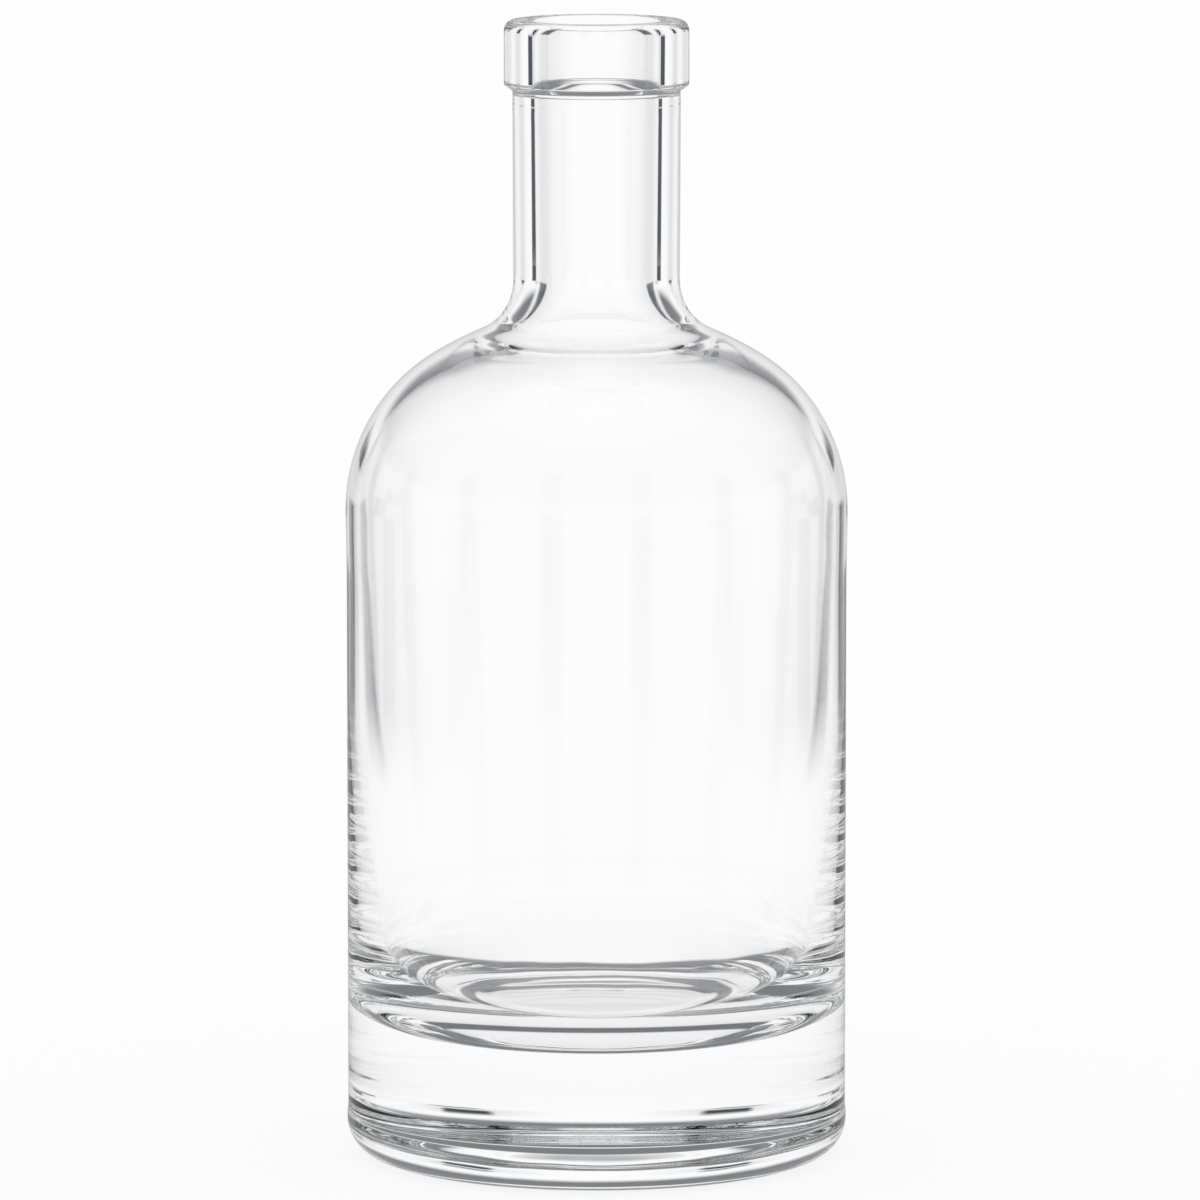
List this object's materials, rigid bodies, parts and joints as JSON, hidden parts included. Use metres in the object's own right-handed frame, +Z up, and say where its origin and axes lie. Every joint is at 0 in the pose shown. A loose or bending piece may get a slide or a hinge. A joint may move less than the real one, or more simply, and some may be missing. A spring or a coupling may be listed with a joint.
{
  "type": "glass spirits bottle",
  "caption": "Clear glass bottle with a heavy solid base, straight round body, rounded shoulder and a straight neck ending in a wide band for a stopper; empty and open.",
  "frame": {"origin": "centre of the ring the bottle stands on", "axes": "+Z up through the mouth, the axis of the whole bottle; X and Y are alike"},
  "size_m": [0.0838, 0.0838, 0.1903],
  "materials": {
    "flint_glass": "polished, colourless"
  },
  "bodies": {
    "root": {"bottle": "flint_glass"}
  },
  "joints": []
}
